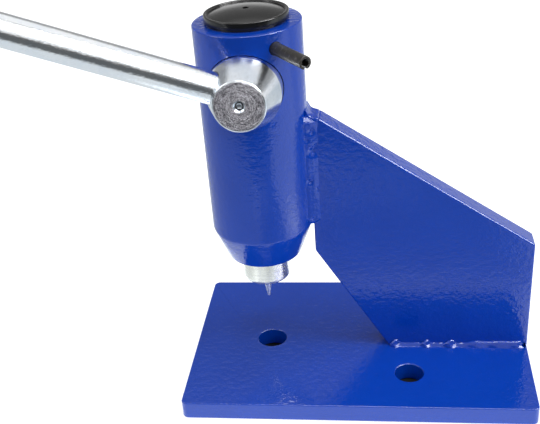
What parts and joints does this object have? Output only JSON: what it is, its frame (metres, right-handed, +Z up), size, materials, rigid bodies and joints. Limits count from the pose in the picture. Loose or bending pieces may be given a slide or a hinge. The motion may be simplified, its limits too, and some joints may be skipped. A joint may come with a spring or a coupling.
{
  "type": "bench hand press",
  "caption": "Bench hand press: a side lever turns an eccentric shaft in a round barrel, which pushes a spring-lifted ram and its pointed punch down to a drilled base.",
  "frame": {"origin": "middle of the base plate's underside", "axes": "+X from the ram towards the column plate, along the base; -Y the side of the lever; +Z up"},
  "size_m": [0.325, 0.1331, 0.2343],
  "materials": {
    "blue_paint": "gloss powder coat",
    "zinc_plate": "bright zinc",
    "black_steel": "black oxide",
    "bright_steel": "satin",
    "brass": "turned",
    "black_plastic": "satin"
  },
  "bodies": {
    "root": {"base_plate": "blue_paint", "column_plate": "blue_paint", "base_weld_front": "blue_paint", "base_weld_back": "blue_paint", "barrel_weld_front": "blue_paint", "barrel_weld_back": "blue_paint", "barrel_weld_top": "blue_paint", "barrel": "blue_paint", "stop_pin": "black_steel", "top_plug": "black_plastic", "ram_guide_screw": "black_steel"},
    "lever": {"eccentric_shaft": "zinc_plate", "tail_washer": "black_steel", "tail_snap_ring": "black_steel", "lever_clamp_screw": "black_steel", "lever_rod": "zinc_plate", "knob_insert": "brass", "lever_knob": "black_plastic"},
    "ram": {"ram": "zinc_plate", "punch": "zinc_plate", "punch_screw": "black_steel", "ram_snap_ring": "black_steel", "spring_washer": "bright_steel", "return_spring": "bright_steel"}
  },
  "joints": [
    {"name": "lever_turn", "type": "hinge", "parent": "root", "child": "lever", "pos_m": [-0.039, 0, 0.1339], "axis": [0, 1, 0], "range_deg": [-22, 98]},
    {"name": "ram_slide", "type": "slide", "parent": "root", "child": "ram", "axis": [0, 0, 1], "range_m": [-0.0024, 0.01], "deforming": ["return_spring"]}
  ],
  "couplings": [
    {"joint": "ram_slide", "follows": "lever_turn", "m_per_rad": 0.00579}
  ]
}
